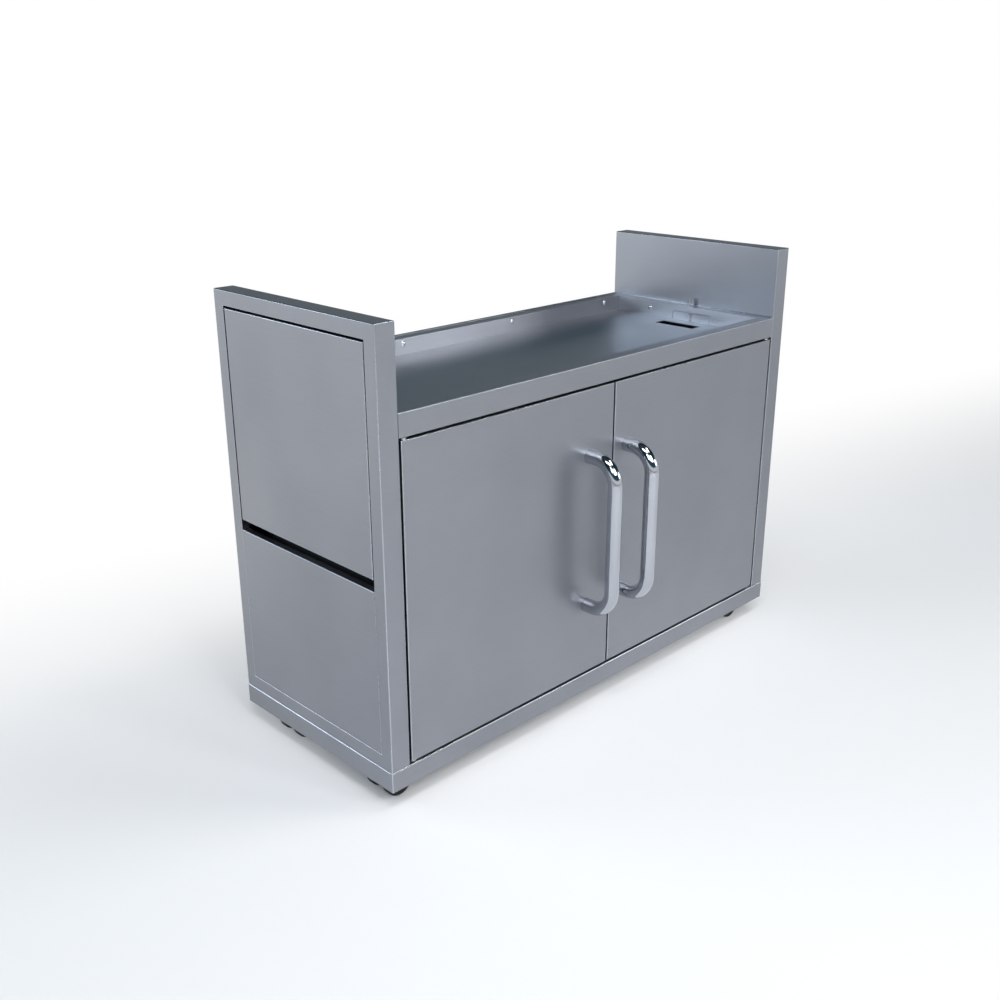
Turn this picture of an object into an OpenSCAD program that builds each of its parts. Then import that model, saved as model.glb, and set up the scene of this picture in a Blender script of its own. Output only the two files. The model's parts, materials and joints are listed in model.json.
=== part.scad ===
// Grill cart with storage: a sheet steel cabinet on casters with two pivoting doors,
// two flip-up side shelves and a shallow pan on top that takes a built-in grill head.
// X runs across the cart, -Y is the front, Z = 0 is the ground under the wheels.
// The origin lies on the ground in the middle of the cart, door handles included.

/* [Cabinet] */
// Width over the base skirt
overall_w = 1210; // [1000:10:1500]
// Depth over the base skirt, without the door handles
cabinet_d = 477; // [450:1:620]
// Height from the ground to the top of the side panels
overall_h = 914; // [880:1:980]
// Gap between the ground and the skirt
floor_clear = 39; // [30:1:44]
// Height of the skirt round the base
skirt_h = 41; // [38:1:60]
// How far the skirt stands proud of the panels above it
skirt_proud = 0.8; // [0.4:0.1:2]
// Height from the ground to the deck round the pan
deck_h = 759; // [740:1:790]
// Height of the front rail between the doors and the deck
rail_h = 44.5; // [40:0.5:60]
// Thickness of the sheet metal
sheet_t = 1.5; // [1:0.1:2]
// Outer radius of a folded edge
fold_r = 2; // [1.6:0.1:3]

/* [Side panels] */
// Thickness of a side panel
side_t = 43; // [42:0.5:60]
// Width of the border round the shelf and the lower panel
border_w = 29; // [22:0.5:40]
// Depth of the lip round the opening in the side frame
lip_d = 16; // [14:0.5:20]
// Width of the flange that stiffens the edge of an inner skin
liner_flange = 12; // [8:0.5:14]
// Height from the ground to the lower edge of the finger slot
slot_z = 438; // [400:1:480]
// Height of the finger slot
slot_h = 22; // [18:0.5:30]
// Seam between the lower side panel and its frame
seam_gap = 0.4; // [0.2:0.1:1]

/* [Side shelf] */
// Thickness of the shelf over its folded edges
shelf_t = 18; // [16:0.5:19]
// Gap above the shelf, in which its upper edge turns
shelf_top_gap = 4.5; // [4:0.5:8]
// Gap at the front and the back end of the shelf
shelf_end_gap = 3; // [2:0.5:5]
// Depth of the hinge axis behind the face of the shelf
shelf_axis_in = 8; // [7:0.5:8.5]
// Drop of the hinge axis below the upper edge of the shelf
shelf_axis_drop = 8; // [6:0.5:8.5]
// Radius of the shelf's hinge pins
shelf_pin_r = 3; // [2.5:0.5:3.5]
// Width of the flange turned in along the edges of the shelf
shelf_hem = 10; // [6:0.5:14]
// Width of the channel under the shelf
channel_w = 32; // [24:1:40]

/* [Shelf prop] */
// Radius of the rod of the prop
prop_r = 4; // [3:0.5:5]
// Depth of the prop's pivot behind the face of the side panel
prop_axis_in = 30; // [29:0.5:31]
// Drop of the prop's pivot below the shelf's hinge axis
prop_drop = 165; // [140:1:172]
// Turn of the prop for each turn of the shelf
prop_ratio = 1.5; // [1.45:0.01:1.55]
// Width between the legs of the prop
prop_w = 300; // [200:5:320]
// Bend radius of the rod, at its middle line
prop_bend = 12; // [10:0.5:16]

/* [Deck and pan] */
// Width of the deck in front of the pan
flange_front = 29; // [24:0.5:40]
// Width of the deck beside the pan
flange_side = 26; // [22:0.5:40]
// Width of the deck behind the pan, up to the fold of the back panel
flange_rear = 26; // [20:0.5:40]
// Width of the back panel's fold over the deck
back_fold = 12; // [8:0.5:16]
// Depth of the pan
pan_depth = 34.5; // [30:0.5:38]
// Width of the gas-line hole in the floor of the pan
hole_w = 33; // [24:0.5:50]
// Length of the gas-line hole, front to back
hole_l = 109; // [80:1:140]
// Distance from the gas-line hole to the right wall of the pan
hole_from_wall = 35; // [20:1:60]
// Distance from the front wall of the pan to the gas-line hole
hole_from_front = 129; // [100:1:160]
// Height of a knock-out flap in the right wall
flap_h = 20; // [14:0.5:24]
// Radius of the upper corners of a flap
flap_r = 6; // [4:0.5:8]
// Width of the cut round a flap
flap_cut = 0.9; // [0.6:0.1:1.5]
// Web between the two flaps
flap_web = 2; // [1.5:0.5:5]
// Distance between the screws in the rear wall of the pan
rear_screw_pitch = 330; // [280:5:340]
// Shift of the row of screws to the left of the middle
rear_screw_shift = 16; // [0:1:20]
// Drop of the screws below the deck
rear_screw_drop = 11; // [9:0.5:14]
// Radius of a locating pin
pin_r = 4; // [3:0.5:5]
// Height of a locating pin above the deck
pin_h = 16; // [12:0.5:24]
// Distance of the locating pins from the front wall of the pan
pin_from_front = 199; // [160:1:240]

/* [Doors] */
// Thickness of a door
door_t = 20; // [18:0.5:24]
// Gap between a door and the frame round it
door_gap = 5; // [4:0.5:6]
// Gap between the two doors
door_mid_gap = 4.5; // [4:0.5:8]
// Distance of the pivot from the outer edge of the door
pivot_in = 10; // [9:0.5:12]
// Depth of the pivot behind the face of the door
pivot_back = 8; // [7:0.5:9]
// Radius of a pivot pin
pivot_r = 4; // [3:0.5:5]
// Length of a pivot pin outside the door
pivot_l = 11; // [10:0.5:13]
// Wall of a pivot bush
bush_wall = 2; // [1.5:0.5:3]

/* [Handles] */
// Diameter of the handle's tube
handle_d = 30; // [25:0.5:35]
// Wall of the handle's tube
handle_wall = 2; // [1.5:0.5:3]
// Stand-off of the tube's middle line from the door
handle_off = 70; // [60:0.5:90]
// Distance between the two ends of a handle, centre to centre
handle_span = 326; // [250:1:450]
// Height from the ground to the lower end of a handle
handle_low = 246; // [200:1:300]
// Distance of the left handle from the middle of the cart
handle_left = 75; // [40:0.5:90]
// Distance of the right handle from the middle of the cart
handle_right = 40; // [35:0.5:90]
// Bend radius of the tube, at its middle line
handle_bend = 50; // [36:0.5:58]

/* [Casters] */
// Radius of a caster wheel
wheel_r = 30; // [26:0.5:32]
// Width of a caster wheel
wheel_w = 20; // [16:0.5:22]
// Distance between the two wheels of a caster, centre to centre
wheel_gauge = 48; // [46:0.5:52]
// Distance of the axle from the swivel axis
caster_trail = 22; // [18:0.5:24]
// Distance of the swivel axes from the ends of the skirt
caster_from_end = 65; // [64:1:100]
// Distance of the front swivel axes from the front of the skirt
caster_from_front = 65; // [64:0.5:90]
// Distance of the rear swivel axes from the back of the skirt
caster_from_back = 122.5; // [68:0.5:140]
// Width of a caster's top plate, across the cart
caster_plate_w = 50; // [48:1:50]
// Length of a caster's top plate, front to back
caster_plate_l = 68; // [66:1:76]

/* [Hidden] */
$fn = 48;

// Colours
brushed = [0.60, 0.62, 0.66];
pale = [0.70, 0.72, 0.77];
polished = [0.80, 0.82, 0.85];
galvanised = [0.52, 0.54, 0.56];
black = [0.06, 0.06, 0.07];

// Overrun of a cut past the face that it leaves
over = 1;
// Clearance between pieces that are nested or lie side by side
nest_gap = 0.3;
// Radial clearance of a pin in its bore
run_gap = 0.05;

// Planes of the cabinet
mid_y = (handle_off + handle_d / 2 - skirt_proud) / 2;
skirt_front = mid_y - cabinet_d / 2;
skirt_back = mid_y + cabinet_d / 2;
front_y = skirt_front + skirt_proud;
back_y = skirt_back - skirt_proud;
side_out = overall_w / 2 - skirt_proud;
side_in = side_out - side_t;
base_top = floor_clear + skirt_h;
rail_z = deck_h - rail_h;

// Opening in a side frame, seen from the side
open_y0 = front_y + border_w;
open_y1 = back_y - border_w;
open_z0 = base_top + border_w;
open_z1 = overall_h - border_w;

// Depth of the lower panel and width of the flange behind it
panel_d = lip_d - sheet_t;
panel_seat_w = 10;

// Side shelf and its hinge axis
shelf_y0 = open_y0 + shelf_end_gap;
shelf_y1 = open_y1 - shelf_end_gap;
shelf_z0 = slot_z + slot_h;
shelf_z1 = open_z1 - shelf_top_gap;
hinge_z = shelf_z1 - shelf_axis_drop;
stop_w = 8;
stop_l = 24;
stop_rise = 20;

// Prop: its pivot, its length and where it meets the raised shelf
prop_z = hinge_z - prop_drop;
prop_turn = 90 * prop_ratio;
under_shelf = shelf_t - shelf_axis_in;
prop_len = (prop_drop - under_shelf - prop_r - nest_gap) / -cos(prop_turn);
prop_reach = prop_len * sin(prop_turn) - (prop_axis_in - shelf_axis_in);
prop_pin_l = 12;
bracket_t = 3;
bracket_gap = 2;
bracket_foot = 18;
bracket_r = 8;

// Deck and pan; the deck's rear edge is joggled down under the back panel's fold
deck_back = back_y - sheet_t;
joggle = 0.5;
joggle_y = back_y - back_fold - nest_gap;
strip_z = deck_h - joggle;
pan_x = side_in - flange_side;
pan_y0 = front_y + flange_front;
pan_y1 = back_y - back_fold - flange_rear;
pan_z = deck_h - pan_depth;
hole_x1 = pan_x - hole_from_wall;
hole_y0 = pan_y0 + hole_from_front;
flap_w = (hole_l - flap_web) / 2;
dot_r = 1.2;
pin_x = side_in - flange_side / 2;
pin_y = pan_y0 + pin_from_front;
pin_chamfer = 1;
pin_relief = 1;
pin_relief_cut = 0.5;
pin_relief_r = pin_r - pin_relief_cut;
pin_foot_r = 7;
pin_foot_h = 2;
apron_return = 18;
rail_t = 2;
rail_top_flange = 20;
rail_foot = 40;
angle_leg = 20;
angle_t = 2;
angle_end = 30;

// Screws: radius and height of the head, radius of the shank, length
rear_screw = [6, 2.6, 2.5, 10];
stud_washer = [7, 1];
stud_screw = [5, 2.4, 2.5, 10];
stud_y_from_back = 101;
stud_drop = 16.5;
small_screw = [4.5, 2.2, 2, 6];
nut_h = 3;
nut_r = 4.5;
rear_screws = 4;
rear_mid = (rear_screws - 1) / 2;
screw_pitch = min(rear_screw_pitch, (pan_x - rear_screw_shift - 2 * rear_screw[0]) / rear_mid);

// Back panel
back_flange = 20;
screw_in = 10;
vent_l = 46;
vent_h = 6;
vent_pitch_x = 64;
vent_pitch_z = 16;
vent_columns = 4;
vent_rows = 3;
vent_edge = 60;

// Doors
door_x0 = side_in - door_gap;
door_x1 = door_mid_gap / 2;
door_z0 = base_top + door_gap;
door_z1 = rail_z - door_gap;
liner_hem = 12;
pivot_x = door_x0 - pivot_in;
pivot_y = front_y + pivot_back;
pivot_block = 14;
pivot_block_h = 24;
bush_r = pivot_r + run_gap + bush_wall;
bush_rim = 1.5;
bush_rim_h = 1;
bush_l = 8;
collar_r = pivot_r + bush_wall;

// Magnetic catches and their strike plates
catch_x = 32;
catch_w = 44;
catch_h = 20;
catch_d = 15;
pole_t = 2;
pole_out = 1;
strike_w = 34;
strike_h = 14;
strike_t = 1.2;
strike_drop = 1;

// Handles
handle_r = handle_d / 2;
plug_t = 8;
handle_bolt_r = 4;
handle_head_r = 6.5;
washer_t = 1.5;

// Casters
plate_t = 2.5;
race_r = 21;
race_h = 4.5;
swivel_gap = 0.3;
disc_h = 5;
kingpin_r = 5;
kingpin_l = 22;
web_gap = 0.6;
axle_r = 4;
axle_boss_r = 12;
axle_cap_r = 7;
axle_cap_h = 1.5;
fender_gap = 2;
fender_t = 2.5;
fender_angle = 35;
tread_r = 4;
hub_r = 10;
rim_w = 7;
wheel_recess = 4;
caster_bolt_in = 9;
caster_bolt = [5, 3.5, 3, 9];
base_under = base_top - sheet_t;
swivel_z = base_under - plate_t - race_h - swivel_gap;
swivel_x = overall_w / 2 - caster_from_end;
swivel_front = skirt_front + caster_from_front;
swivel_back = skirt_back - caster_from_back;

// Stiffener under the floor
stiffener_w = 60;
stiffener_h = 24;
stiffener_flange = 14;
stiffener_end = 60;

// Box between two opposite corners
module block(low, high) {
    translate(low)
        cube(high - low);
}

// Rectangle with chosen corners rounded, in the order low left, low right, high right, high left
module corner_rect(low, high, r, corners) {
    x = [low[0], high[0], high[0], low[0]];
    y = [low[1], low[1], high[1], high[1]];
    in_x = [r, -r, -r, r];
    in_y = [r, r, -r, -r];
    difference() {
        translate(low)
            square(high - low);
        for (i = [0:3])
            if (corners[i])
                translate([min(x[i], x[i] + in_x[i]), min(y[i], y[i] + in_y[i])])
                    square([r, r]);
    }
    for (i = [0:3])
        if (corners[i])
            translate([x[i] + in_x[i], y[i] + in_y[i]])
                circle(r);
}

// Upright prism on an outline in X and Y
module prism_z(z0, z1) {
    translate([0, 0, z0])
        linear_extrude(z1 - z0)
            children();
}

// Prism along X on an outline in Y and Z
module prism_x(x0, x1) {
    translate([x0, 0, 0])
        rotate([90, 0, 90])
            linear_extrude(x1 - x0)
                children();
}

// Prism along Y on an outline in X and Z
module prism_y(y0, y1) {
    translate([0, y1, 0])
        rotate([90, 0, 0])
            linear_extrude(y1 - y0)
                children();
}

// Cylinder along X from a point
module rod_x(at, length, r) {
    translate(at)
        rotate([0, 90, 0])
            cylinder(h = length, r = r);
}

// Cylinder along +Y from a point
module rod_y(at, length, r) {
    translate(at)
        rotate([-90, 0, 0])
            cylinder(h = length, r = r);
}

// Cylinder along +Z from a point
module rod_z(at, length, r) {
    translate(at)
        cylinder(h = length, r = r);
}

// Quarter bend of a rod in the YZ plane, from a leg at -Y of the bend's centre to one at +Z
module quarter_bend(bend, r) {
    rotate([90, 0, -90])
        rotate_extrude(angle = 90)
            translate([bend, 0])
                circle(r);
}

// Places a piece that is modelled for the left side on either side
module on_side(side) {
    if (side == "left")
        children();
    else
        mirror([1, 0, 0])
            children();
}

// X of a plane at a depth behind the outer face of the left side panel
function left_x(depth) = -side_out + depth;

// Screw with a domed head on Z = 0 and its shank below; sizes is [head r, head h, shank r, length]
module domed_screw(sizes) {
    head_r = sizes[0];
    head_h = sizes[1];
    dome_r = (head_r * head_r + head_h * head_h) / (2 * head_h);
    intersection() {
        translate([0, 0, head_h - dome_r])
            sphere(dome_r);
        cylinder(h = head_h, r = head_r);
    }
    translate([0, 0, -sizes[3]])
        cylinder(h = sizes[3], r = sizes[2]);
}

// Hexagonal nut or bolt head on Z = 0
module hexagon(r, h) {
    cylinder(h = h, r = r, $fn = 6);
}

// Floor and skirt of the cabinet, one inverted tray
module base_tray() {
    half_w = overall_w / 2;
    color(brushed)
        difference() {
            intersection() {
                prism_z(floor_clear, base_top)
                    corner_rect([-half_w, skirt_front], [half_w, skirt_back], fold_r, [1, 1, 1, 1]);
                prism_x(-half_w, half_w)
                    corner_rect([skirt_front, floor_clear], [skirt_back, base_top], fold_r, [0, 0, 1, 1]);
                prism_y(skirt_front, skirt_back)
                    corner_rect([-half_w, floor_clear], [half_w, base_top], fold_r, [0, 0, 1, 1]);
            }
            block([-half_w + sheet_t, skirt_front + sheet_t, floor_clear - over],
                [half_w - sheet_t, skirt_back - sheet_t, base_under]);
            for (side = [-1, 1])
                rod_z([side * pivot_x, pivot_y, base_under - over], sheet_t + 2 * over, bush_r + run_gap);
            each_caster()
                each_caster_bolt()
                    rod_z([0, 0, base_under - over], sheet_t + 2 * over, caster_bolt[2] + run_gap);
        }
}

// Hat section under the floor, between the front and the rear casters
module floor_stiffener() {
    y = (swivel_front + swivel_back) / 2;
    x = swivel_x - stiffener_end;
    top = base_under;
    color(galvanised)
        prism_x(-x, x)
            difference() {
                union() {
                    translate([y - stiffener_w / 2, top - stiffener_h])
                        square([stiffener_w, stiffener_h]);
                    translate([y - stiffener_w / 2 - stiffener_flange, top - sheet_t])
                        square([stiffener_w + 2 * stiffener_flange, sheet_t]);
                }
                translate([y - stiffener_w / 2 + sheet_t, top - stiffener_h + sheet_t])
                    square([stiffener_w - 2 * sheet_t, stiffener_h]);
            }
}

// Border, edge and lip of a side panel, folded and welded into one ring
module side_frame(side) {
    color(brushed)
        on_side(side)
            difference() {
                union() {
                    difference() {
                        union() {
                            side_shell();
                            block([left_x(0), open_y0 - sheet_t, open_z0 - sheet_t],
                                [left_x(lip_d), open_y1 + sheet_t, open_z1 + sheet_t]);
                        }
                        block([left_x(0) - over, open_y0, open_z0], [left_x(lip_d) + over, open_y1, open_z1]);
                    }
                    panel_seat();
                    shelf_stops();
                }
                rod_y([left_x(shelf_axis_in), open_y0 - sheet_t - over, hinge_z],
                    open_y1 - open_y0 + 2 * (sheet_t + over), shelf_pin_r + run_gap);
            }
}

// Face and edge of a side frame, open on the inner side
module side_shell() {
    difference() {
        intersection() {
            prism_z(base_top, overall_h)
                corner_rect([left_x(0), front_y], [left_x(side_t), back_y], fold_r, [1, 1, 1, 1]);
            prism_x(left_x(0), left_x(side_t))
                corner_rect([front_y, base_top], [back_y, overall_h], fold_r, [1, 1, 1, 1]);
            prism_y(front_y, back_y)
                corner_rect([left_x(0), base_top], [left_x(side_t), overall_h], fold_r, [1, 1, 1, 1]);
        }
        block([left_x(sheet_t), front_y + sheet_t, base_top + sheet_t],
            [left_x(side_t) + over, back_y - sheet_t, overall_h - sheet_t]);
    }
}

// Flange turned in from the lip, which the lower panel sits against
module panel_seat() {
    difference() {
        block([left_x(panel_d), open_y0 - sheet_t, open_z0 - sheet_t], [left_x(lip_d), open_y1 + sheet_t, slot_z]);
        block([left_x(panel_d) - over, open_y0 + panel_seat_w, open_z0 + panel_seat_w],
            [left_x(lip_d) + over, open_y1 - panel_seat_w, slot_z + over]);
    }
}

// Tabs behind the lower corners of the shelf
module shelf_stops() {
    tab_x = shelf_t + nest_gap;
    for (end = [0, 1]) {
        edge = end == 0 ? open_y0 - sheet_t : open_y1 + sheet_t;
        tip = end == 0 ? open_y0 + stop_w : open_y1 - stop_w;
        block([left_x(tab_x), min(edge, tip), shelf_z0 + stop_rise],
            [left_x(tab_x + sheet_t), max(edge, tip), shelf_z0 + stop_rise + stop_l]);
        stem = end == 0 ? open_y0 - sheet_t : open_y1;
        block([left_x(sheet_t), stem, shelf_z0 + stop_rise],
            [left_x(tab_x + sheet_t), stem + sheet_t, shelf_z0 + stop_rise + stop_l]);
    }
}

// Inner skin of a side panel, a tray that nests in the frame's edge
module side_liner(side) {
    outer = sheet_t;
    inner = 2 * sheet_t;
    color(pale)
        on_side(side)
            difference() {
                block([left_x(side_t - liner_flange), front_y + outer, base_top + outer],
                    [left_x(side_t), back_y - outer, overall_h - outer]);
                block([left_x(side_t - liner_flange) - over, front_y + inner, base_top + inner],
                    [left_x(side_t - sheet_t), back_y - inner, overall_h - inner]);
                side_screw_holes();
            }
}

// Fixed panel below the finger slot
module lower_side_panel(side) {
    y0 = open_y0 + seam_gap;
    y1 = open_y1 - seam_gap;
    z0 = open_z0 + seam_gap;
    color(brushed)
        on_side(side)
            difference() {
                prism_y(y0, y1)
                    corner_rect([left_x(0), z0], [left_x(panel_d), slot_z], fold_r, [0, 0, 0, 1]);
                block([left_x(sheet_t), y0 + sheet_t, z0 + sheet_t],
                    [left_x(panel_d) + over, y1 - sheet_t, slot_z - sheet_t]);
            }
}

// Flip-up shelf, hanging closed: a tray with its edges turned in
module side_shelf(side) {
    color(brushed)
        on_side(side)
            difference() {
                intersection() {
                    prism_z(shelf_z0, shelf_z1)
                        corner_rect([left_x(0), shelf_y0], [left_x(shelf_t), shelf_y1], fold_r, [1, 0, 0, 1]);
                    prism_y(shelf_y0, shelf_y1)
                        corner_rect([left_x(0), shelf_z0], [left_x(shelf_t), shelf_z1], fold_r, [1, 0, 0, 1]);
                }
                block([left_x(sheet_t), shelf_y0 + sheet_t, shelf_z0 + sheet_t],
                    [left_x(shelf_t - sheet_t), shelf_y1 - sheet_t, shelf_z1 - sheet_t]);
                block([left_x(sheet_t), shelf_y0 + shelf_hem, shelf_z0 + shelf_hem],
                    [left_x(shelf_t) + over, shelf_y1 - shelf_hem, shelf_z1 - shelf_hem]);
                rod_y([left_x(shelf_axis_in), shelf_y0 - over, hinge_z],
                    shelf_y1 - shelf_y0 + 2 * over, shelf_pin_r + run_gap);
            }
}

// Channel across the shelf, which lies on the prop when the shelf is up
module shelf_channel(side) {
    z = hinge_z - prop_reach;
    y0 = shelf_y0 + shelf_hem + nest_gap;
    y1 = shelf_y1 - shelf_hem - nest_gap;
    color(galvanised)
        on_side(side)
            difference() {
                block([left_x(sheet_t), y0, z - channel_w / 2], [left_x(shelf_t), y1, z + channel_w / 2]);
                block([left_x(sheet_t) - over, y0 - over, z - channel_w / 2 + sheet_t],
                    [left_x(shelf_t - sheet_t), y1 + over, z + channel_w / 2 - sheet_t]);
            }
}

// Hinge pins through the ends of the shelf and the lip of the frame, with a head at each end
module shelf_hinge_pins(side) {
    head_h = sheet_t;
    head_r = shelf_pin_r + sheet_t;
    lip_y = open_y1 - mid_y + sheet_t;
    length = shelf_end_gap + 2 * sheet_t + nest_gap;
    color(polished)
        on_side(side)
            translate([left_x(shelf_axis_in), mid_y, hinge_z])
                for (end = [0, 1])
                    mirror([0, end, 0]) {
                        rod_y([0, lip_y, 0], head_h, head_r);
                        rod_y([0, lip_y - length, 0], length, shelf_pin_r);
                        rod_y([0, lip_y - length - head_h, 0], head_h, head_r);
                    }
}

// Prop: a rod bent to a bail, hanging from two turned-out ends
module shelf_prop(side) {
    color(polished)
        on_side(side)
            translate([left_x(prop_axis_in), mid_y, prop_z])
                for (end = [0, 1])
                    mirror([0, end, 0])
                        prop_half();
}

// Half of the prop, with its pivot axis on Y through the origin
module prop_half() {
    leg_y = prop_w / 2;
    rod_y([0, 0, -prop_len], leg_y - prop_bend, prop_r);
    translate([0, leg_y - prop_bend, -prop_len + prop_bend])
        rotate([180, 0, 0])
            quarter_bend(prop_bend, prop_r);
    rod_z([0, leg_y, -prop_len + prop_bend], prop_len - 2 * prop_bend, prop_r);
    translate([0, leg_y + prop_bend, -prop_bend])
        quarter_bend(prop_bend, prop_r);
    rod_y([0, leg_y + prop_bend, 0], prop_pin_l, prop_r);
}

// Brackets on the inner skin that carry the prop
module prop_brackets(side) {
    ear_y = prop_w / 2 + prop_bend + bracket_gap;
    foot_x = left_x(side_t - sheet_t);
    color(galvanised)
        on_side(side)
            for (end = [0, 1])
                translate([0, mid_y, 0])
                    mirror([0, end, 0])
                        difference() {
                            union() {
                                rod_y([left_x(prop_axis_in), ear_y, prop_z], bracket_t, bracket_r);
                                block([left_x(prop_axis_in), ear_y, prop_z - bracket_r],
                                    [foot_x, ear_y + bracket_t, prop_z + bracket_r]);
                                block([foot_x - bracket_t, ear_y, prop_z - bracket_r],
                                    [foot_x, ear_y + bracket_foot, prop_z + bracket_r]);
                            }
                            rod_y([left_x(prop_axis_in), ear_y - over, prop_z],
                                bracket_t + 2 * over, prop_r + run_gap);
                        }
}

// Back of the cabinet, flanged on all sides, with a fold that lies on the deck
module back_panel() {
    x = side_in;
    top = strip_z + sheet_t;
    color(brushed)
        difference() {
            prism_x(-x, x)
                corner_rect([back_y - back_flange, base_top], [back_y, top], fold_r, [0, 0, 1, 0]);
            block([-x + sheet_t, back_y - back_flange - over, base_top + sheet_t],
                [x - sheet_t, back_y - sheet_t, strip_z]);
            block([-x - over, back_y - back_flange - over, strip_z - sheet_t],
                [x + over, back_y - sheet_t, strip_z]);
            block([-x - over, back_y - back_flange - over, strip_z - sheet_t],
                [x + over, back_y - back_fold, top + over]);
            for (z = [base_top + vent_edge, rail_z - vent_edge])
                vent_group(z);
            for (side = ["left", "right"])
                on_side(side)
                    side_screw_holes();
        }
}

// Group of ventilation slots centred at a height
module vent_group(z) {
    for (column = [0:vent_columns - 1], row = [0:vent_rows - 1])
        translate([(column - (vent_columns - 1) / 2) * vent_pitch_x, 0, z + (row - (vent_rows - 1) / 2) * vent_pitch_z])
            prism_y(back_y - sheet_t - over, back_y + over)
                corner_rect([-vent_l / 2, -vent_h / 2], [vent_l / 2, vent_h / 2], vent_h / 2, [1, 1, 1, 1]);
}

// Deck: front apron, flanges, pan with the gas-line hole and two knock-out flaps
module grill_deck() {
    color(pale)
        difference() {
            union() {
                prism_x(-side_in, side_in)
                    corner_rect([front_y, rail_z], [front_y + apron_return, deck_h], fold_r, [1, 0, 0, 1]);
                block([-side_in, front_y + fold_r, deck_h - sheet_t], [side_in, joggle_y, deck_h]);
                block([-side_in, joggle_y - sheet_t, strip_z - sheet_t], [side_in, deck_back, strip_z]);
                block([-pan_x - sheet_t, pan_y0 - sheet_t, pan_z - sheet_t],
                    [pan_x + sheet_t, pan_y1 + sheet_t, deck_h]);
            }
            block([-side_in - over, front_y + sheet_t, rail_z + sheet_t],
                [side_in + over, front_y + apron_return + over, deck_h - sheet_t]);
            block([-pan_x, pan_y0, pan_z], [pan_x, pan_y1, deck_h + over]);
            block([hole_x1 - hole_w, hole_y0, pan_z - sheet_t - over], [hole_x1, hole_y0 + hole_l, pan_z + over]);
            for (i = [0, 1])
                translate([0, hole_y0 + i * (flap_w + flap_web), 0])
                    flap_outline();
            for (side = [-1, 1]) {
                rod_z([side * pivot_x, pivot_y, rail_z - over], sheet_t + 2 * over, bush_r + run_gap);
                rod_z([side * pin_x, pin_y, deck_h - sheet_t - over], sheet_t + 2 * over, pin_r + run_gap);
                rod_x([side * pan_x - sheet_t - over, stud_y(), deck_h - stud_drop],
                    2 * (sheet_t + over), stud_screw[2] + run_gap);
            }
            each_rear_screw()
                rod_y([0, pan_y1 - over, 0], sheet_t + 2 * over, rear_screw[2] + run_gap);
        }
}

// Place of the screw in a side wall of the pan
function stud_y() = pan_y1 - stud_y_from_back;

// Cut round one flap in the right wall, with a relief hole at each end of its fold
module flap_outline() {
    prism_x(pan_x - over, pan_x + sheet_t + over)
        difference() {
            corner_rect([0, pan_z], [flap_w, pan_z + flap_h], flap_r, [0, 0, 1, 1]);
            corner_rect([flap_cut, pan_z - over], [flap_w - flap_cut, pan_z + flap_h - flap_cut],
                flap_r - flap_cut, [0, 0, 1, 1]);
        }
    for (y = [flap_cut, flap_w - flap_cut])
        rod_x([pan_x - over, y, pan_z + dot_r], sheet_t + 2 * over, dot_r);
}

// Places of the four screws in the rear wall of the pan
module each_rear_screw() {
    for (i = [0:rear_screws - 1])
        translate([(i - rear_mid) * screw_pitch - rear_screw_shift, 0, deck_h - rear_screw_drop])
            children();
}

// Channel behind the apron
module front_rail() {
    y0 = front_y + sheet_t;
    z0 = rail_z + sheet_t;
    z1 = deck_h - sheet_t;
    color(galvanised)
        difference() {
            block([-side_in, y0, z0], [side_in, y0 + rail_foot, z1]);
            block([-side_in - over, y0 + rail_t, z0 + rail_t], [side_in + over, y0 + rail_foot + over, z1 - rail_t]);
            block([-side_in - over, y0 + rail_top_flange, z0 + rail_t], [side_in + over, y0 + rail_foot + over, z1 + over]);
            for (side = [-1, 1])
                rod_z([side * pivot_x, pivot_y, z0 - over], bush_l + 2 * over, bush_r + run_gap);
        }
}

// Angles under the deck, one on each side skin and one on the back panel
module deck_angles() {
    top = deck_h - sheet_t;
    y0 = pan_y0 + angle_end;
    y1 = pan_y1 - angle_end;
    rear_x = pan_x - angle_end;
    rear_y = back_y - sheet_t;
    rear_top = strip_z - sheet_t;
    color(galvanised) {
        for (side = ["left", "right"])
            on_side(side)
                difference() {
                    block([-side_in, y0, top - angle_leg], [-side_in + angle_leg, y1, top]);
                    block([-side_in + angle_t, y0 - over, top - angle_leg - over],
                        [-side_in + angle_leg + over, y1 + over, top - angle_t]);
                    rod_z([-pin_x, pin_y, top - angle_t - over], angle_t + 2 * over, pin_r + run_gap);
                    side_screw_holes();
                }
        difference() {
            block([-rear_x, rear_y - angle_leg, rear_top - angle_leg], [rear_x, rear_y, rear_top]);
            block([-rear_x - over, rear_y - angle_leg - over, rear_top - angle_leg - over],
                [rear_x + over, rear_y - angle_t, rear_top - angle_t]);
        }
    }
}

// Pins that locate the grill head, riveted through the deck, with a relief groove at the deck
module locating_pins() {
    foot_z = deck_h - sheet_t - angle_t;
    wall_z = deck_h + pin_relief;
    color(polished)
        for (side = [-1, 1])
            translate([side * pin_x, pin_y, 0]) {
                rod_z([0, 0, foot_z - pin_foot_h], pin_foot_h, pin_foot_r);
                rod_z([0, 0, foot_z], deck_h - foot_z, pin_r);
                rod_z([0, 0, foot_z], wall_z - foot_z, pin_relief_r);
                rod_z([0, 0, wall_z], pin_h - pin_relief - pin_chamfer, pin_r);
                translate([0, 0, deck_h + pin_h - pin_chamfer])
                    cylinder(h = pin_chamfer, r1 = pin_r, r2 = pin_r - pin_chamfer);
            }
}

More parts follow.
